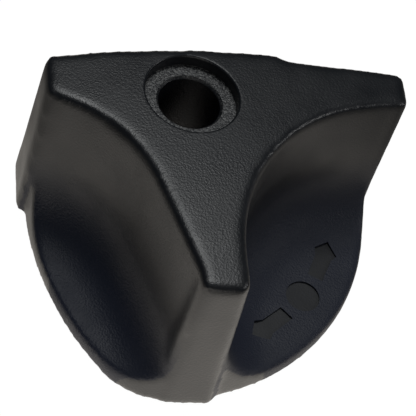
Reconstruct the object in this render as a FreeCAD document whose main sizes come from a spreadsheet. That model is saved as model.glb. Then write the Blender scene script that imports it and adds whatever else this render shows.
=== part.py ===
"""Three-arm control knob, moulded in one piece.

A T-shaped grip stands on a thin round plate. A left arm, a right arm and a front arm
run out from a hub, whose bore takes the shaft. The back is a plain, slightly crowned
wall. Two scoops between the arms leave room for the fingers and run down in a wide
cove to the plate. Millimetres, +Z up, bore axis on Z, base face at Z = 0.
"""
import FreeCAD, Part
import math
import os

doc = FreeCAD.newDocument("control_knob")

# Driving dimensions
sheet = doc.addObject("Spreadsheet::Sheet", "sizes")
DIMENSIONS = [
    ("knob_height", 32.2, "top face above the base, at the bore axis"),
    ("plate_thick", 3.4, "plate between the arms"),
    ("plate_radius", 42.0, "round front and right side of the plate"),
    ("plate_shift_x", -2.4, "centre of the round side, from the bore axis"),
    ("plate_shift_y", 1.3, "centre of the round side, from the bore axis"),
    ("side_radius", 55.9, "flatter left side of the plate"),
    ("side_shift_x", 32.1, "centre of the left side's curve"),
    ("side_shift_y", -0.5, "centre of the left side's curve"),
    ("side_blend", 14.0, "rounding where the left side meets the round front"),
    ("back_radius", 198.0, "gentle curve of the back wall"),
    ("back_shift_x", 18.5, "where the back wall stands out most"),
    ("back_reach", 12.5, "back wall behind the bore axis, at the base"),
    ("wall_draft", 3.1, "mould draft of the back wall and the plate's left side, degrees"),
    ("front_draft", 6.0, "mould draft of the plate's round side and the front arm's tip, degrees"),
    ("end_draft", 1.5, "mould draft of the left and right arms' tips, degrees"),
    ("left_reach", 25.2, "left arm's tip from the bore axis, at the base"),
    ("left_tip_width", 11.9, "left arm's end face, at the base"),
    ("left_mid", 2.0, "middle of that face, behind the bore axis"),
    ("right_reach", 40.3, "right arm's tip from the bore axis, at the base"),
    ("right_tip_width", 11.0, "right arm's end face, at the base"),
    ("right_mid", 6.1, "middle of that face, behind the bore axis"),
    ("front_reach", 41.0, "front arm's tip from the bore axis, at the base"),
    ("front_tip_width", 10.6, "front arm's end face, at the base"),
    ("front_mid", 2.5, "middle of that face, right of the bore axis"),
    ("tip_draft", 2.6, "mould draft of the arms' sides at their tips, degrees"),
    ("scoop_draft", 2.5, "mould draft of the scoop walls, degrees"),
    ("left_scoop_bend", 21.8, "left scoop's radius seen from above"),
    ("left_arm_offset", 8.3, "left arm's flank from the bore axis"),
    ("left_arm_slope", 11.0, "left arm's flank against X, degrees"),
    ("left_stem_offset", 14.0, "front arm's left flank from the bore axis"),
    ("left_stem_slope", 19.5, "front arm's left flank against Y, degrees"),
    ("right_scoop_bend", 30.6, "right scoop's radius seen from above"),
    ("right_arm_offset", 8.2, "right arm's flank from the bore axis"),
    ("right_arm_slope", 14.3, "right arm's flank against X, degrees"),
    ("right_stem_offset", 7.1, "front arm's right flank from the bore axis"),
    ("right_stem_slope", -1.3, "front arm's right flank against Y, degrees"),
    ("cove_radius", 10.0, "cove where the scoops run into the plate"),
    ("relief_depth", 0.75, "shallow step behind the right arm"),
    ("relief_start", 13.5, "where that step begins, right of the bore axis"),
    ("relief_blend", 6.0, "rounding at the foot of that step"),
    ("crown_radius", 600.0, "crown of the top face"),
    ("bore_radius", 5.3, "shaft bore"),
    ("seat_radius", 8.0, "counterbore for the screw's head"),
    ("seat_depth", 2.4, "counterbore's depth"),
    ("core_width", 4.0, "slots that core the arms from below"),
    ("core_top", 5.0, "material left above the slots"),
    ("core_wall", 5.4, "material left between a slot and an arm's tip"),
    ("boss_radius", 10.0, "solid boss kept around the bore"),
    ("tip_round", 1.8, "upright corners of the arms"),
]
for row, (alias, value, meaning) in enumerate(DIMENSIONS, start=1):
    sheet.set(f"A{row}", alias)
    sheet.set(f"B{row}", str(value))
    sheet.set(f"C{row}", meaning)
    sheet.setAlias(f"B{row}", alias)
doc.recompute()

OVERRUN = 6.0  # how far a tool reaches past what it cuts
FAR = 90.0  # outer limit of the scoop tools


def size(alias):
    """One driving dimension, as a plain number."""
    return float(sheet.get(alias))


def bind(obj, **formulas):
    """Tie properties of an object to cells of the sheet."""
    for prop, formula in formulas.items():
        for alias, _, _ in sorted(DIMENSIONS, key=lambda entry: -len(entry[0])):
            formula = formula.replace(f"<{alias}>", f"sizes.{alias}")
        obj.setExpression(prop, formula)


def place(obj, x="0", y="0", z="0"):
    """Tie an object's position to cells of the sheet."""
    bind(obj, **{"Placement.Base.x": x, "Placement.Base.y": y, "Placement.Base.z": z})


def drafted_cone(name, radius, x, y, draft):
    """Full-height round block whose wall leans in with the mould draft."""
    cone = doc.addObject("Part::Cone", name)
    shrink = f"<knob_height> * tan({draft} * 1deg)"
    bind(cone, Radius1=radius, Radius2=f"{radius} - {shrink}", Height="<knob_height>")
    place(cone, x, y)
    return cone


def common(name, *parts):
    """What several solids share."""
    shared = doc.addObject("Part::MultiCommon", name)
    shared.Shapes = list(parts)
    return shared


def edges_where(shape, test):
    """Numbers of the edges that pass a test, counted from one."""
    return [number for number, edge in enumerate(shape.Edges, start=1) if test(edge)]


def rounded(name, base, radius, test):
    """A Part fillet on the edges that pass a test."""
    doc.recompute()
    fillet = doc.addObject("Part::Fillet", name)
    fillet.Base = base
    fillet.Edges = [(number, radius, radius) for number in edges_where(base.Shape, test)]
    return fillet


def foot(name, length, width, draft, turn, x, y):
    """Full-height end of one arm, drafted at its tip and sides, with rounded upright corners."""
    block = doc.addObject("Part::Wedge", name)
    tip = f"<knob_height> * tan({draft} * 1deg)"
    flank = "<knob_height> * tan(<tip_draft> * 1deg)"
    bind(block, Xmin="0", Xmax=length, Ymin="0", Ymax="<knob_height>",
         Zmin=f"-{width} / 2", Zmax=f"{width} / 2", X2min="0", X2max=f"{length} - {tip}",
         Z2min=f"-{width} / 2 + {flank}", Z2max=f"{width} / 2 - {flank}")
    upright = FreeCAD.Rotation(FreeCAD.Vector(1, 0, 0), 90)
    block.Placement.Rotation = FreeCAD.Rotation(FreeCAD.Vector(0, 0, 1), turn) * upright
    place(block, x, y)
    doc.recompute()
    hub = FreeCAD.Vector(block.Placement.Base.x, block.Placement.Base.y, size("knob_height") / 2)

    def is_tip_corner(edge):
        return edge.BoundBox.ZLength > size("knob_height") / 2 \
            and edge.CenterOfMass.distanceToPoint(hub) > block.Shape.BoundBox.DiagonalLength / 3

    return rounded(f"{name}_round", block, size("tip_round"), is_tip_corner)


def tangent_corner(arm_offset, arm_slope, stem_offset, stem_slope, bend, side):
    """Points of a scoop's outline: flank along the arm, round bend, flank along the front arm."""
    arm_dir = FreeCAD.Vector(side * math.cos(arm_slope), math.sin(arm_slope), 0)
    arm_foot = FreeCAD.Vector(side * math.sin(arm_slope), -math.cos(arm_slope), 0) * arm_offset
    stem_dir = FreeCAD.Vector(-side * math.sin(stem_slope), -math.cos(stem_slope), 0)
    stem_foot = FreeCAD.Vector(side * math.cos(stem_slope), -math.sin(stem_slope), 0) * stem_offset
    gap = stem_foot - arm_foot
    cross = arm_dir.x * stem_dir.y - arm_dir.y * stem_dir.x
    corner = arm_foot + arm_dir * ((gap.x * stem_dir.y - gap.y * stem_dir.x) / cross)
    half = arm_dir.getAngle(stem_dir) / 2
    setback = bend / math.tan(half)
    centre = corner + (arm_dir + stem_dir).normalize() * (bend / math.sin(half))
    middle = centre - (arm_dir + stem_dir).normalize() * bend
    return corner + arm_dir * setback, middle, corner + stem_dir * setback, arm_dir, stem_dir


def scoop_tool(name, side, prefix):
    """The space that one scoop leaves free: drafted walls, round bend and a cove at its foot."""
    start, middle, end, arm_dir, stem_dir = tangent_corner(
        size(f"{prefix}_arm_offset"), math.radians(size(f"{prefix}_arm_slope")),
        size(f"{prefix}_stem_offset"), math.radians(size(f"{prefix}_stem_slope")),
        size(f"{prefix}_scoop_bend"), side)
    outer_arm = start + arm_dir * FAR
    outer_stem = end + stem_dir * FAR
    outer_corner = FreeCAD.Vector(outer_arm.x, outer_stem.y, 0)
    body = doc.addObject("PartDesign::Body", name)
    plane = next(item for item in body.Origin.OriginFeatures if item.Role == "XY_Plane")
    sketch = body.newObject("Sketcher::SketchObject", f"{name}_outline")
    sketch.AttachmentSupport = [(plane, "")]
    sketch.MapMode = "FlatFace"
    bind(sketch, **{"AttachmentOffset.Base.z": "<plate_thick>"})
    arc = Part.Arc(start, middle, end)
    for curve in (Part.LineSegment(outer_arm, start), arc, Part.LineSegment(end, outer_stem),
                  Part.LineSegment(outer_stem, outer_corner), Part.LineSegment(outer_corner, outer_arm)):
        sketch.addGeometry(curve, False)
    doc.recompute()
    pad = body.newObject("PartDesign::Pad", f"{name}_space")
    pad.Profile = sketch
    bind(pad, Length=f"<knob_height> + {OVERRUN}", TaperAngle="<scoop_draft>")
    doc.recompute()
    low = size("plate_thick")

    def is_foot_of_flank(edge):
        return abs(edge.BoundBox.ZMax - low) < 0.01 and not on_outer_side(edge, outer_corner)

    cove = body.newObject("PartDesign::Fillet", f"{name}_cove")
    cove.Base = (pad, [f"Edge{number}" for number in edges_where(pad.Shape, is_foot_of_flank)])
    bind(cove, Radius="<cove_radius>")
    body.Tip = cove
    return body


def on_outer_side(edge, outer_corner):
    """Whether an edge belongs to the outer sides of a scoop tool, away from the knob."""
    box = edge.BoundBox
    past_x = max(abs(box.XMin - outer_corner.x), abs(box.XMax - outer_corner.x)) < 0.01
    past_y = max(abs(box.YMin - outer_corner.y), abs(box.YMax - outer_corner.y)) < 0.01
    return past_x or past_y


def plate_and_block():
    """Full-height block inside the plate's outline: round front, flatter left side, curved back."""
    front = drafted_cone("round_front", "<plate_radius>", "<plate_shift_x>", "<plate_shift_y>", "<front_draft>")
    left = drafted_cone("left_side", "<side_radius>", "<side_shift_x>", "<side_shift_y>", "<wall_draft>")
    outline = common("front_and_side", front, left)
    low_y = size("plate_shift_y") - size("plate_radius") / 2

    def is_front_left_corner(edge):
        box = edge.BoundBox
        return box.ZMax - box.ZMin > size("knob_height") / 2 and box.YMax < low_y

    blended = rounded("blended_side", outline, size("side_blend"), is_front_left_corner)
    back = drafted_cone("back_wall", "<back_radius>", "<back_shift_x>", "<back_reach> - <back_radius>",
                        "<wall_draft>")
    return common("plate_block", blended, back)


def cut(name, base, *tools):
    """One solid with one or more tools taken out of it."""
    result = doc.addObject("Part::Cut", name)
    result.Base = base
    result.Tool = tools[0] if len(tools) == 1 else fuse(f"{name}_tools", *tools)
    return result


def fuse(name, *parts):
    """Several solids joined into one."""
    joined = doc.addObject("Part::MultiFuse", name)
    joined.Shapes = list(parts)
    joined.Refine = True
    return joined


def crown(name):
    """Large ball whose top is the crown of the top face."""
    ball = doc.addObject("Part::Sphere", name)
    bind(ball, Radius="<crown_radius>")
    ball.Placement.Rotation = FreeCAD.Rotation(FreeCAD.Vector(1, 0, 0), 90)
    place(ball, "0", "0", "<knob_height> - <crown_radius>")
    return ball


def cylinder(name, radius, height, z):
    """Upright cylinder on the bore axis."""
    tool = doc.addObject("Part::Cylinder", name)
    bind(tool, Radius=radius, Height=height)
    place(tool, "0", "0", z)
    return tool


def back_relief():
    """Tool for the shallow step behind the right arm, leaning with the back wall."""
    tool = doc.addObject("Part::Box", "relief_space")
    bind(tool, Length="<right_reach>", Width="<back_reach>", Height=f"<knob_height> + 2 * {OVERRUN}")
    tool.Placement.Rotation = FreeCAD.Rotation(FreeCAD.Vector(1, 0, 0), size("wall_draft"))
    place(tool, "<relief_start>", "<back_reach> - <relief_depth>", f"-{OVERRUN}")
    doc.recompute()
    corner = tool.Placement.Base

    def is_inner_edge(edge):
        box = edge.BoundBox
        return box.ZLength > size("knob_height") and abs(box.XMin - corner.x) < 0.01 \
            and box.YMin < corner.y + 1.0

    return rounded("relief_tool", tool, size("relief_blend"), is_inner_edge)


def arm_slot(name, reach, turn, x, y):
    """A slot that cores one arm from below, from the solid boss to the wall at the arm's tip."""
    slot = doc.addObject("Part::Box", name)
    bind(slot, Length=f"{reach} - <core_wall> - <boss_radius>", Width="<core_width>",
         Height=f"<knob_height> - <core_top> + {OVERRUN}")
    slot.Placement.Rotation = FreeCAD.Rotation(FreeCAD.Vector(0, 0, 1), turn)
    place(slot, x, y, f"-{OVERRUN}")
    return slot


def build_knob():
    """The knob as one solid."""
    scoops = [scoop_tool("left_scoop", -1, "left"), scoop_tool("right_scoop", 1, "right")]
    scooped = cut("scooped_block", plate_and_block(), *scoops)
    feet = [
        foot("left_foot", "<left_reach>", "<left_tip_width>", "<end_draft>", 180, "0", "<left_mid>"),
        foot("right_foot", "<right_reach>", "<right_tip_width>", "<end_draft>", 0, "0", "<right_mid>"),
        foot("front_foot", "<front_reach>", "<front_tip_width>", "<front_draft>", -90, "<front_mid>", "0"),
    ]
    joined = fuse("joined_arms", scooped, *feet)
    relieved = cut("relieved_back", joined, back_relief())
    crowned = common("crowned_grip", relieved, crown("crown_ball"))
    bore = cylinder("bore_space", "<bore_radius>", f"<knob_height> + 2 * {OVERRUN}", f"-{OVERRUN}")
    seat = cylinder("seat_space", "<seat_radius>", f"<seat_depth> + {OVERRUN}",
                    "<knob_height> - <seat_depth>")
    slots = [
        arm_slot("left_slot", "<left_reach>", 180, "-<boss_radius>", "<left_mid> + <core_width> / 2"),
        arm_slot("right_slot", "<right_reach>", 0, "<boss_radius>", "<right_mid> - <core_width> / 2"),
        arm_slot("front_slot", "<front_reach>", -90, "<front_mid> - <core_width> / 2", "-<boss_radius>"),
    ]
    knob = cut("knob", crowned, bore, seat, *slots)
    knob.Label = "knob"
    return knob


def check(objects):
    """Stop if any object failed to build."""
    for item in objects:
        if {"Invalid", "Error"} & set(item.State):
            raise RuntimeError(f"{item.Label} failed: {item.State}")


knob = build_knob()
doc.recompute()
check(doc.Objects)
if knob.Shape.isNull() or not knob.Shape.isValid() or len(knob.Shape.Solids) != 1:
    raise RuntimeError("the knob isn't one valid solid")
box = knob.Shape.optimalBoundingBox()
print(f"knob {box.XLength:.2f} x {box.YLength:.2f} x {box.ZLength:.2f} mm, {knob.Shape.Volume:.0f} mm3")
os.makedirs("parts", exist_ok=True)
knob.Shape.exportStep("parts/knob.step")
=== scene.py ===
# %% [markdown]
# # A moulded control knob
# The knob is one piece of black plastic: a T-shaped grip on a thin round plate. This lesson takes
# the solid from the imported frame, gives it the soft edges that a mould leaves, sinks the turning
# marks into the plate, and builds the grained plastic it is made of.

# %% Load the frame
import math

import bmesh
import bpy
from mathutils import Euler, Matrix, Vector


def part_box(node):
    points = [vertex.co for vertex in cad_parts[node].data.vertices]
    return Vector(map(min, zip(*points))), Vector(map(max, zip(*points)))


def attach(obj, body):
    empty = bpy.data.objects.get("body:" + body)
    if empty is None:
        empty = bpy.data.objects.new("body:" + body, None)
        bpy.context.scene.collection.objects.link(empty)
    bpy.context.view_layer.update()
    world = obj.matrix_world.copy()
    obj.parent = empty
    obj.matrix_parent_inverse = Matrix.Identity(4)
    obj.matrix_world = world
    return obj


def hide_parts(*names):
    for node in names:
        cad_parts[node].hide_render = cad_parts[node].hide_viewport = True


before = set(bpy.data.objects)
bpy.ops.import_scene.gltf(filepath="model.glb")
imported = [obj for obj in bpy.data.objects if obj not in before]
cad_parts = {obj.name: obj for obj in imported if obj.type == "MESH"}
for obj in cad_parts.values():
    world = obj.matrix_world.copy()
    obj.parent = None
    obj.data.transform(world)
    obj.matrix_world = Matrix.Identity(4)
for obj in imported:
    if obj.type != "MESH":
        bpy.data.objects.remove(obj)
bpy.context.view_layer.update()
MM = 0.001
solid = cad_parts["knob"]
low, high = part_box("knob")
print("knob in mm:", [round(side / MM, 2) for side in high - low])

# %% [markdown]
# ## Sizes that the finish needs
# The radii of the bore and its counterbore repeat those of the solid, so that both can be cut
# again after the smoothing. Everything else here is a size of the finish itself.

# %% Sizes of the finish
BORE_RADIUS = 5.3 * MM
SEAT_RADIUS = 8.0 * MM
SEAT_FLOOR = 29.8 * MM
PLATE_TOP = 3.4 * MM
TOP = high.z
print("top face at", round(TOP / MM, 2), "mm")

# %% [markdown]
# ## Soft moulded edges
# A mould has no knife edges: this one leaves about a millimetre of rounding along the grip. A
# bevel fails on such curved, drafted walls, so a copy is remeshed into even small cells and
# smoothed. The bore would lose its round shape on the way, so it is plugged first and cut again
# at the end.


# %% Helpers for meshes
def link_mesh(name, shape):
    """An object made from a bmesh, which is freed."""
    mesh = bpy.data.meshes.new(name)
    bmesh.ops.recalc_face_normals(shape, faces=shape.faces)
    shape.to_mesh(mesh)
    shape.free()
    made = bpy.data.objects.new(name, mesh)
    bpy.context.scene.collection.objects.link(made)
    return made


def turned(name, profile, steps=96):
    """A closed body turned on the bore axis from (radius, height) points."""
    shape = bmesh.new()
    turns = [math.tau * step / steps for step in range(steps)]
    rings = [[shape.verts.new((radius * math.cos(turn), radius * math.sin(turn), height))
              for turn in turns] for radius, height in profile]
    for lower, upper in zip(rings, rings[1:]):
        for near in range(steps):
            far = (near + 1) % steps
            shape.faces.new((lower[near], lower[far], upper[far], upper[near]))
    shape.faces.new(rings[0])
    shape.faces.new(rings[-1])
    return link_mesh(name, shape)


def apply_modifiers(piece):
    """Replace a piece's mesh by what its modifiers make of it."""
    shown = bpy.context.evaluated_depsgraph_get()
    done = bpy.data.meshes.new_from_object(piece.evaluated_get(shown))
    piece.modifiers.clear()
    old = piece.data
    piece.data = done
    bpy.data.meshes.remove(old)


def boolean(piece, operation, *tools):
    """Join tools to a piece or take them out of it, and remove them."""
    for tool in tools:
        step = piece.modifiers.new(tool.name, "BOOLEAN")
        step.operation = operation
        step.solver = "EXACT"
        step.object = tool
    apply_modifiers(piece)
    for tool in tools:
        bpy.data.objects.remove(tool, do_unlink=True)


def copy_of(source, name):
    """A copy of an object with its own mesh and no material."""
    copy = bpy.data.objects.new(name, source.data.copy())
    bpy.context.scene.collection.objects.link(copy)
    copy.data.materials.clear()
    return copy


# %% Plug the bore
PLUG_RADIUS = SEAT_RADIUS + 0.3 * MM
PLUG_FOOT = 0.05 * MM
plain = copy_of(solid, "plain_block")
boolean(plain, "UNION", turned("plug", [(PLUG_RADIUS, PLUG_FOOT), (PLUG_RADIUS, TOP)]))
print("plugged block:", len(plain.data.polygons), "faces")

# %% [markdown]
# A grid of cells that lies along the walls leaves long steps where a wall leans by a few degrees.
# The block is turned to an odd angle before the remesh and back after it, and each point is then
# laid on the true surface again, so only small, even noise is left for the smoothing to remove.

# %% Even cells
VOXEL = 0.495 * MM
ODD_ANGLE = (0.5, 0.3, 0.8)


def even_cells(piece, target, cell):
    """Remesh a piece at an odd angle, and settle it on the surface it came from."""
    tilt = Euler(ODD_ANGLE).to_matrix().to_4x4()
    piece.data.transform(tilt)
    remesh = piece.modifiers.new("even cells", "REMESH")
    remesh.mode = "VOXEL"
    remesh.voxel_size = cell
    apply_modifiers(piece)
    piece.data.transform(tilt.inverted())
    settle = piece.modifiers.new("on the surface", "SHRINKWRAP")
    settle.wrap_method = "NEAREST_SURFACEPOINT"
    settle.target = target
    apply_modifiers(piece)


knob = copy_of(plain, "moulded_knob")
even_cells(knob, plain, VOXEL)
bpy.data.objects.remove(plain, do_unlink=True)
print("cells:", len(knob.data.polygons))

# %% [markdown]
# The Smooth modifier rounds an edge more with each pass. A vertex group holds it back near the
# base, where the real knob is crisper: below PLATE_END the weight is about a half, and it climbs
# to its full value where the grip starts.

# %% Smooth the edges
EDGE_PASSES = 44
PULL = 0.5
FOOT = 0.45
RIM = 0.50
FOOT_END = 1.5 * MM
PLATE_END = 5.0 * MM
GRIP_START = 8.0 * MM


def softness(point):
    """How much an edge may round here: half at the base and the plate's rim, fully above."""
    if point.z < FOOT_END:
        return FOOT
    climb = (point.z - PLATE_END) / (GRIP_START - PLATE_END)
    return RIM + (1.0 - RIM) * min(1.0, max(0.0, climb))


def smooth(piece, passes, weight):
    """Round the edges of a piece where a weight lets it."""
    group = piece.vertex_groups.new(name="soft")
    for vertex in piece.data.vertices:
        group.add([vertex.index], weight(vertex.co), "REPLACE")
    rounding = piece.modifiers.new("soft edges", "SMOOTH")
    rounding.factor = PULL
    rounding.iterations = passes
    rounding.vertex_group = group.name
    apply_modifiers(piece)
    piece.vertex_groups.clear()


smooth(knob, EDGE_PASSES, softness)
print("after smoothing:", [round(side / MM, 2) for side in knob.dimensions])

# %% [markdown]
# ## The turning marks
# A dot between two arrows is pressed about a third of a millimetre into the plate, on an arc
# around the bore. Each mark is a small prism whose outline is given in angle and radius, and a
# boolean sinks it, so that its rim is as sharp as the punch that made it.

# %% Outline of the marks
MARK_RADIUS = 32.3 * MM
MARK_ANGLE = math.radians(-39.1)
MARK_FLOOR = PLATE_TOP - 0.38 * MM
MARK_HEIGHT = 4 * MM
DOT_RADIUS = 3.1 * MM
DOT_SIDES = 48
ARROW = [(-1.45, 8.8), (1.45, 8.8), (1.55, 17.3), (2.3, 19.6),
         (0.2, 24.0), (-2.0, 20.3), (-1.5, 17.3)]


def on_arc(offset, angle):
    """A point of the plate, by its offset in mm from the marks' arc and its angle in degrees."""
    radius = MARK_RADIUS + offset * MM
    turn = MARK_ANGLE + math.radians(angle)
    return Vector((radius * math.cos(turn), radius * math.sin(turn), 0))


def prism(name, outline):
    """A closed upright prism from the marks' floor to well above the plate."""
    shape = bmesh.new()
    ground = Vector((0, 0, MARK_FLOOR))
    face = shape.faces.new([shape.verts.new(point + ground) for point in outline])
    raised = bmesh.ops.extrude_face_region(shape, geom=[face])
    lifted = [item for item in raised["geom"] if isinstance(item, bmesh.types.BMVert)]
    bmesh.ops.translate(shape, verts=lifted, vec=(0, 0, MARK_HEIGHT))
    return link_mesh(name, shape)


centre = on_arc(0, 0)
dot = [centre + Vector((math.cos(turn), math.sin(turn), 0)) * DOT_RADIUS
       for turn in [math.tau * step / DOT_SIDES for step in range(DOT_SIDES)]]
marks = [
    prism("dot_mark", dot),
    prism("upper_arrow", [on_arc(offset, angle) for offset, angle in ARROW]),
    prism("lower_arrow", [on_arc(offset, -angle) for offset, angle in ARROW]),
]
print("dot at", [round(value / MM, 1) for value in centre])

# %% Sink the marks
boolean(knob, "DIFFERENCE", *marks)
print("with marks:", len(knob.data.polygons), "faces")

# %% [markdown]
# ## The bore
# The bore and the counterbore are cut last, as one turned tool, so both are truly round. The tool
# flares at the top for the soft rim, and has a small chamfer where the shoulder meets the bore.

# %% Cut the bore
RIM_ROUND = 0.45 * MM
BORE_CHAMFER = 0.45 * MM
CORNER = 0.15 * MM
BELOW = -1 * MM
ABOVE = TOP + 2 * MM
FLARE_STEPS = (0, 22, 45, 68, 90)
SHARP_ANGLE = math.radians(38)
flare = [(SEAT_RADIUS + RIM_ROUND * (1 - math.cos(turn)), TOP - RIM_ROUND * (1 - math.sin(turn)))
         for turn in [math.radians(angle) for angle in FLARE_STEPS]]
profile = [(BORE_RADIUS, BELOW), (BORE_RADIUS, SEAT_FLOOR - BORE_CHAMFER),
           (BORE_RADIUS + BORE_CHAMFER, SEAT_FLOOR), (SEAT_RADIUS, SEAT_FLOOR),
           (SEAT_RADIUS, SEAT_FLOOR + CORNER), *flare, (SEAT_RADIUS + RIM_ROUND, ABOVE)]
boolean(knob, "DIFFERENCE", turned("bore_tool", profile))
knob.data.shade_smooth()
knob.data.set_sharp_from_angle(angle=SHARP_ANGLE)
print("with the bore:", len(knob.data.polygons), "faces")

# %% [markdown]
# ## Masks for the finish
# The marks' floors are smooth, the counterbore's shoulder is rough where a tool cut it, and the
# plate and the hollows of the scoops are more matt than the grip and carry painted shade, a bluish
# colour that stands in for the cool light there. Three numbers on the mesh say where, so one
# material covers the whole moulding.

# %% Masks of the marks and the shoulder
NEAR = 0.05 * MM
MARK_HALF_WIDTH = 3.4 * MM
MARK_HALF_ANGLE = 25
SHOULDER_START = BORE_RADIUS + 0.1 * MM


def in_mark(vertex):
    """Whether a point is on the floor of a mark."""
    point = vertex.co
    near_arc = abs(math.hypot(point.x, point.y) - MARK_RADIUS) < MARK_HALF_WIDTH
    turn = abs(math.degrees(math.atan2(point.y, point.x) - MARK_ANGLE))
    on_floor = abs(point.z - MARK_FLOOR) < NEAR
    return 1.0 if near_arc and turn < MARK_HALF_ANGLE and on_floor else 0.0


def on_shoulder(vertex):
    """Whether a point belongs to the counterbore's shoulder."""
    point = vertex.co
    on_ring = SHOULDER_START < math.hypot(point.x, point.y) < SEAT_RADIUS + NEAR
    return 1.0 if on_ring and abs(point.z - SEAT_FLOOR) < NEAR else 0.0


# %% Mask of the scoops, for their painted shade and matt finish
SCOOP_FULL = 6.0 * MM
SCOOP_END = 17.0 * MM
OUTSIDE = 0.8
FRONT_END = -36 * MM
LEFT_END = -20 * MM
RIGHT_END = 36 * MM


# The depth drives a painted cool shade in the hollows as well as a matt, deeper grain.
def scoop_depth_for_shade(vertex):
    """How deep a point lies in the scoops or on the plate, for the painted shade; outer walls
    don't count.
    """
    point, lean = vertex.co, vertex.normal
    front = lean.y < -OUTSIDE and point.y < FRONT_END
    left = lean.x < -OUTSIDE and point.x < LEFT_END
    right = lean.x > OUTSIDE and point.x > RIGHT_END
    if front or left or right or lean.y > OUTSIDE:
        return 0.0
    return min(1.0, max(0.0, (SCOOP_END - point.z) / (SCOOP_END - SCOOP_FULL)))


# %% Paint the masks
def paint(mesh, name, value):
    """Write one number per vertex."""
    layer = mesh.attributes.new(name, "FLOAT", "POINT")
    for vertex in mesh.vertices:
        layer.data[vertex.index].value = value(vertex)


paint(knob.data, "mark_floor", in_mark)
paint(knob.data, "shoulder", on_shoulder)
paint(knob.data, "scoop", scoop_depth_for_shade)
print("masks painted on", len(knob.data.vertices), "vertices")

# %% [markdown]
# ## Spark-eroded grain
# The mould's wall was etched, so the plastic has a fine pebbled grain about a third of a
# millimetre across. The effect is a node group: pebbles from Voronoi cells, broken up by noise.
# It puts out a height for a Bump node and a mask for small differences of colour and gloss.

# %% Grain group
GRAIN_CELLS = 2800
PEBBLE_BLEND = 0.6
NOISE_FINER = 1.7
NOISE_SHARE = 0.8
MOTTLE_SCALE = 160.0


def add_node(tree, kind, values=(), **settings):
    """A node with some settings and input values."""
    node = tree.nodes.new(kind)
    for key, value in settings.items():
        setattr(node, key, value)
    for socket, value in values:
        node.inputs[socket].default_value = value
    return node


def grain_group():
    """Group that makes the etched grain from a cell size in metres."""
    tree = bpy.data.node_groups.new("etched grain", "ShaderNodeTree")
    face = tree.interface
    face.new_socket("Vector", in_out="INPUT", socket_type="NodeSocketVector")
    cell = face.new_socket("Cells per metre", in_out="INPUT", socket_type="NodeSocketFloat")
    cell.default_value = GRAIN_CELLS
    face.new_socket("Height", in_out="OUTPUT", socket_type="NodeSocketFloat")
    face.new_socket("Mottle", in_out="OUTPUT", socket_type="NodeSocketFloat")
    inlet = tree.nodes.new("NodeGroupInput")
    outlet = tree.nodes.new("NodeGroupOutput")
    pebbles = add_node(tree, "ShaderNodeTexVoronoi", [("Smoothness", PEBBLE_BLEND)],
                       feature="SMOOTH_F1")
    broken = add_node(tree, "ShaderNodeTexNoise", [("Detail", 3.0), ("Roughness", 0.6)])
    finer = add_node(tree, "ShaderNodeMath", [(1, NOISE_FINER)], operation="MULTIPLY")
    coarse = add_node(tree, "ShaderNodeTexNoise", [("Scale", MOTTLE_SCALE), ("Detail", 2.0)])
    mixed = add_node(tree, "ShaderNodeMath", operation="ADD")
    part = add_node(tree, "ShaderNodeMath", [(1, NOISE_SHARE)], operation="MULTIPLY")
    link = tree.links.new
    link(inlet.outputs["Vector"], pebbles.inputs["Vector"])
    link(inlet.outputs["Vector"], broken.inputs["Vector"])
    link(inlet.outputs["Vector"], coarse.inputs["Vector"])
    link(inlet.outputs["Cells per metre"], pebbles.inputs["Scale"])
    link(inlet.outputs["Cells per metre"], finer.inputs[0])
    link(finer.outputs[0], broken.inputs["Scale"])
    link(broken.outputs["Fac"], part.inputs[0])
    link(pebbles.outputs["Distance"], mixed.inputs[0])
    link(part.outputs[0], mixed.inputs[1])
    link(mixed.outputs[0], outlet.inputs["Height"])
    link(coarse.outputs["Fac"], outlet.inputs["Mottle"])
    return tree


grain = grain_group()
print("group:", grain.name, [item.name for item in grain.interface.items_tree])

# %% [markdown]
# ## The plastic
# Black plastic is very dark by itself, and most of what one sees is the broad, soft shine of its
# grain. The colour shifts a little with the mottle. The plate and the scoops' hollows carry
# painted shade, a bluish colour for the cool light there, and are more matt, with a deeper grain,
# the marks' floors are smoother and darker, and the cut shoulder is rougher and greyer with bright
# specks.

# %% Colours and finish of the plastic
PLASTIC = (0.0042, 0.0050, 0.0074, 1)
PLASTIC_LIGHT = (0.0078, 0.0088, 0.0115, 1)
MARK_PLASTIC = (0.0016, 0.0026, 0.0060, 1)
CUT_PLASTIC = (0.200, 0.200, 0.196, 1)
# Painted shade: a bluish colour that stands in for the cool light falling into the scoops and onto
# the plate.
SCOOP_PAINTED_SHADE = (0.0022, 0.0056, 0.0200, 1)
PLASTIC_IOR = 1.53
MOTTLE_RANGE = (0.3, 0.7)
SHINY, DULL = 0.34, 0.42
SCOOP_MATT = 0.20
SCOOP_GRAIN = 2.4
MARK_CALM = 0.75
SPECK_SCALE = 3200.0
SPECK_RANGE = (0.45, 0.75)
CUT_GRAIN = 4.0
GRAIN_STRENGTH = 0.42
GRAIN_DEPTH = 0.06 * MM


# %% Helpers for shaders
def mix_colour(tree, factor, first, second):
    """Mix two colours by a mask; each colour is a socket or a fixed value."""
    mix = add_node(tree, "ShaderNodeMix", data_type="RGBA")
    tree.links.new(factor, mix.inputs["Factor"])
    for name, colour in (("A", first), ("B", second)):
        socket = next(item for item in mix.inputs if item.name == name and item.type == "RGBA")
        if isinstance(colour, tuple):
            socket.default_value = colour
        else:
            tree.links.new(colour, socket)
    return next(item for item in mix.outputs if item.type == "RGBA")


def scaled(tree, source, low_value, high_value, low_in=0.0, high_in=1.0):
    """Map a mask onto a range."""
    node = add_node(tree, "ShaderNodeMapRange", [("From Min", low_in), ("From Max", high_in),
                                                 ("To Min", low_value), ("To Max", high_value)])
    tree.links.new(source, node.inputs["Value"])
    return node.outputs["Result"]


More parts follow.
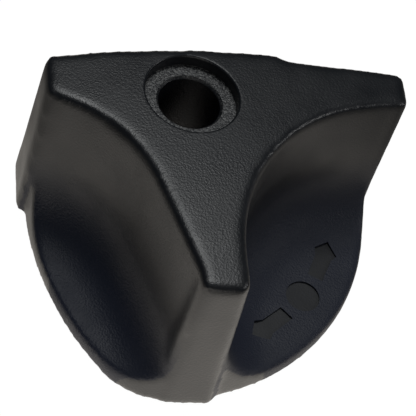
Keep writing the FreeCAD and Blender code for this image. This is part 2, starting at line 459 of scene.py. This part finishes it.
def math_of(tree, operation, first, second):
    """A Math node of two sockets or numbers."""
    node = add_node(tree, "ShaderNodeMath", operation=operation)
    for place, value in enumerate((first, second)):
        if isinstance(value, float):
            node.inputs[place].default_value = value
        else:
            tree.links.new(value, node.inputs[place])
    return node.outputs[0]


# %% Plastic material
def plastic_material():
    """Grained black plastic with matt scoops in painted cool shade, smooth marks and a cut
    shoulder.
    """
    material = bpy.data.materials.new("grained_black_plastic")
    material.use_nodes = True
    tree = material.node_tree
    link = tree.links.new
    shader = tree.nodes["Principled BSDF"]
    shader.inputs["IOR"].default_value = PLASTIC_IOR
    place = add_node(tree, "ShaderNodeTexCoord").outputs["Object"]
    etched = add_node(tree, "ShaderNodeGroup")
    etched.node_tree = grain
    link(place, etched.inputs["Vector"])
    mottle = etched.outputs["Mottle"]
    in_marks, cut, scoop_shade_and_matt = [
        add_node(tree, "ShaderNodeAttribute", attribute_name=name).outputs["Fac"]
        for name in ("mark_floor", "shoulder", "scoop")]
    specks = add_node(tree, "ShaderNodeTexNoise", [("Scale", SPECK_SCALE), ("Detail", 2.0)])
    link(place, specks.inputs["Vector"])
    bright = scaled(tree, specks.outputs["Fac"], 0.0, 1.0, *SPECK_RANGE)
    cut_colour = mix_colour(tree, bright, PLASTIC_LIGHT, CUT_PLASTIC)
    pale = scaled(tree, mottle, 0.0, 1.0, *MOTTLE_RANGE)
    base = mix_colour(tree, pale, PLASTIC, PLASTIC_LIGHT)
    # Painted shade: the scoops and the plate turn bluish, standing in for the cool light there.
    base = mix_colour(tree, scoop_shade_and_matt, base, SCOOP_PAINTED_SHADE)
    base = mix_colour(tree, in_marks, base, MARK_PLASTIC)
    link(mix_colour(tree, cut, base, cut_colour), shader.inputs["Base Color"])
    gloss = scaled(tree, mottle, SHINY, DULL, *MOTTLE_RANGE)
    matt = math_of(tree, "ADD", gloss, scaled(tree, scoop_shade_and_matt, 0.0, SCOOP_MATT))
    link(matt, shader.inputs["Roughness"])
    calm = math_of(tree, "SUBTRACT", 1.0, scaled(tree, in_marks, 0.0, MARK_CALM))
    height = math_of(tree, "MULTIPLY", etched.outputs["Height"], calm)
    height = math_of(tree, "MULTIPLY", height, scaled(tree, scoop_shade_and_matt, 1.0, SCOOP_GRAIN))
    rough = math_of(tree, "MULTIPLY", specks.outputs["Fac"], scaled(tree, cut, 0.0, CUT_GRAIN))
    bump = add_node(tree, "ShaderNodeBump",
                    [("Strength", GRAIN_STRENGTH), ("Distance", GRAIN_DEPTH)])
    link(math_of(tree, "ADD", height, rough), bump.inputs["Height"])
    link(bump.outputs["Normal"], shader.inputs["Normal"])
    return material


plastic = plastic_material()
knob.data.materials.append(plastic)
print("material nodes:", len(plastic.node_tree.nodes))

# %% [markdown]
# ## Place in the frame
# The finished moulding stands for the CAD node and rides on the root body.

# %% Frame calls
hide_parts("knob")
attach(knob, "root")
print("triangles:", sum(len(face.vertices) - 2 for face in knob.data.polygons))

# %% [markdown]
# ## Floor and backdrop
# The knob lies on a white table in front of white. The table shows white to the camera through
# Light Path's Is Camera Ray and still keeps part of the soft shadow, and the world does the same.
# Dark plastic lives by what it mirrors, so for glossy rays the table has a warm pool of light in
# front of the knob and a weaker one behind it. The walls mirror the pools, and the hollows of the
# scoops mirror the dim table between them.

# %% Table and its pools of light
TABLE_SIZE = 3.0
TABLE_COLOUR = (0.45, 0.45, 0.44, 1)
TABLE_ROUGHNESS = 0.8
SHADOW_SHARE = 0.12
WHITE = (1.0, 1.0, 1.0, 1)
WHITE_STRENGTH = 1.13
# Painted light: the warm glow that glossy rays see on the table, in pools in front of and behind
# the knob.
WARM_POOL_GLOW = (1.0, 0.94, 0.86, 1)
POOL_SHAPE = (1.0, 0.6, 1.0)
POOL_INNER = 0.020
POOL_DIM = 0.22
FRONT_POOL = (0.0, -0.045, 0.0)
FRONT_OUTER = 0.073
FRONT_BRIGHT = 1.7
BACK_POOL = (0.005, 0.054, 0.0)
BACK_OUTER = 0.055
BACK_BRIGHT = 1.1


def pool(tree, place, centre_of_pool, bright, outer):
    """Strength of a round pool of light that fades to a dim table."""
    away = add_node(tree, "ShaderNodeVectorMath", [(1, centre_of_pool)], operation="DISTANCE")
    tree.links.new(place, away.inputs[0])
    return scaled(tree, away.outputs["Value"], bright, POOL_DIM, POOL_INNER, outer)


def white_floor(size, shadow_share):
    """A pale floor that keeps part of its shading, with pools of light for gloss alone."""
    shape = bmesh.new()
    bmesh.ops.create_grid(shape, x_segments=1, y_segments=1, size=size)
    floor = link_mesh("floor", shape)
    material = bpy.data.materials.new("white_table")
    material.use_nodes = True
    tree = material.node_tree
    link = tree.links.new
    shader = tree.nodes["Principled BSDF"]
    shader.inputs["Base Color"].default_value = TABLE_COLOUR
    shader.inputs["Roughness"].default_value = TABLE_ROUGHNESS
    path = add_node(tree, "ShaderNodeLightPath")
    mirrored = path.outputs["Is Glossy Ray"]
    glow = tree.nodes.new("ShaderNodeEmission")
    link(mix_colour(tree, mirrored, WHITE, WARM_POOL_GLOW), glow.inputs["Color"])
    place = add_node(tree, "ShaderNodeNewGeometry")
    oval = add_node(tree, "ShaderNodeVectorMath", [(1, POOL_SHAPE)], operation="MULTIPLY")
    link(place.outputs["Position"], oval.inputs[0])
    front = pool(tree, oval.outputs["Vector"], FRONT_POOL, FRONT_BRIGHT, FRONT_OUTER)
    back = pool(tree, oval.outputs["Vector"], BACK_POOL, BACK_BRIGHT, BACK_OUTER)
    strength = add_node(tree, "ShaderNodeMix", [("A", WHITE_STRENGTH)], data_type="FLOAT")
    link(mirrored, strength.inputs["Factor"])
    link(math_of(tree, "MAXIMUM", front, back), strength.inputs["B"])
    link(strength.outputs["Result"], glow.inputs["Strength"])
    seen = math_of(tree, "MAXIMUM", path.outputs["Is Camera Ray"], mirrored)
    mix = add_node(tree, "ShaderNodeMixShader")
    link(math_of(tree, "MULTIPLY", seen, 1.0 - shadow_share), mix.inputs[0])
    link(shader.outputs[0], mix.inputs[1])
    link(glow.outputs[0], mix.inputs[2])
    link(mix.outputs[0], tree.nodes["Material Output"].inputs["Surface"])
    floor.data.materials.append(material)
    return floor


floor = white_floor(TABLE_SIZE, SHADOW_SHARE)
print("floor:", [round(side, 1) for side in floor.dimensions])

# %% World
SKY_COLOUR = (0.75, 0.88, 1.0, 1)
SKY_LIGHT = 0.06


def white_world(colour, light):
    """A world that lights gently and shows white to the camera."""
    world = bpy.data.worlds.new("studio")
    bpy.context.scene.world = world
    world.use_nodes = True
    tree = world.node_tree
    link = tree.links.new
    soft = tree.nodes["Background"]
    soft.inputs["Color"].default_value = colour
    soft.inputs["Strength"].default_value = light
    white = add_node(tree, "ShaderNodeBackground", [("Color", WHITE), ("Strength", 1.0)])
    path = add_node(tree, "ShaderNodeLightPath")
    mix = add_node(tree, "ShaderNodeMixShader")
    link(path.outputs["Is Camera Ray"], mix.inputs[0])
    link(soft.outputs[0], mix.inputs[1])
    link(white.outputs[0], mix.inputs[2])
    link(mix.outputs[0], tree.nodes["World Output"].inputs["Surface"])


white_world(SKY_COLOUR, SKY_LIGHT)
print("world ready")

# %% [markdown]
# ## Light
# One cool panel high behind the knob lays a soft shine on the top face, strongest on the front
# arm. A warm panel low on the camera's side fills the walls a little, and a small one at the
# right catches the rounded edge of the front arm. The pools on the table do the rest.

# %% Lamps
AIM = Vector((4.0, -15.0, 20.7)) * MM


def direction(azimuth, elevation):
    """Unit vector towards a place, by its angle around the knob and above the floor."""
    around, above = math.radians(azimuth), math.radians(elevation)
    return Vector((math.cos(above) * math.cos(around), math.cos(above) * math.sin(around),
                   math.sin(above)))


def panel(name, azimuth, elevation, distance, size, power, colour):
    """A soft square lamp that faces the knob."""
    lamp = bpy.data.lights.new(name, "AREA")
    lamp.shape = "SQUARE"
    lamp.size = size
    lamp.energy = power
    lamp.color = colour
    holder = bpy.data.objects.new(name, lamp)
    bpy.context.scene.collection.objects.link(holder)
    towards = direction(azimuth, elevation)
    holder.location = AIM + towards * distance
    holder.rotation_euler = towards.to_track_quat("Z", "Y").to_euler()
    return holder


panel("high_panel", 86, 72, 0.8, 0.25, 2.0, (0.98, 1.0, 1.0))
panel("front_panel", -95, 14, 0.8, 0.5, 1.0, (1.0, 0.94, 0.86))
panel("right_panel", -5, 30, 0.7, 0.12, 0.5, (1.0, 1.0, 1.0))

# %% [markdown]
# ## Camera
# The photograph looks down at about 52 degrees from the front left, with a long lens and a camera
# that is rolled. The angles, the lens and the distance were fitted to the arms' corners and the
# rim of the counterbore.

# %% Camera
PHOTO_SIDE = 416
SENSOR = 36
FOCAL_PIXELS = 1500
FROM_AZIMUTH = -113.27
FROM_ELEVATION = 51.89
ROLL = 22.46
DISTANCE = 250 * MM
NEAR_CLIP = 10 * MM

view = bpy.data.cameras.new("photo_camera")
view.sensor_width = SENSOR
view.lens = FOCAL_PIXELS / PHOTO_SIDE * view.sensor_width
view.clip_start = NEAR_CLIP
camera = bpy.data.objects.new("photo_camera", view)
bpy.context.scene.collection.objects.link(camera)
backwards = direction(FROM_AZIMUTH, FROM_ELEVATION)
camera.location = AIM + backwards * DISTANCE
upright = backwards.to_track_quat("Z", "Y")
rolled = upright @ Euler((0, 0, math.radians(ROLL))).to_quaternion()
camera.rotation_euler = rolled.to_euler()
bpy.context.scene.camera = camera
print("camera at", [round(value / MM, 1) for value in camera.location])

# %% Colour management
bpy.context.scene.view_settings.view_transform = "Standard"
print("view transform:", bpy.context.scene.view_settings.view_transform)
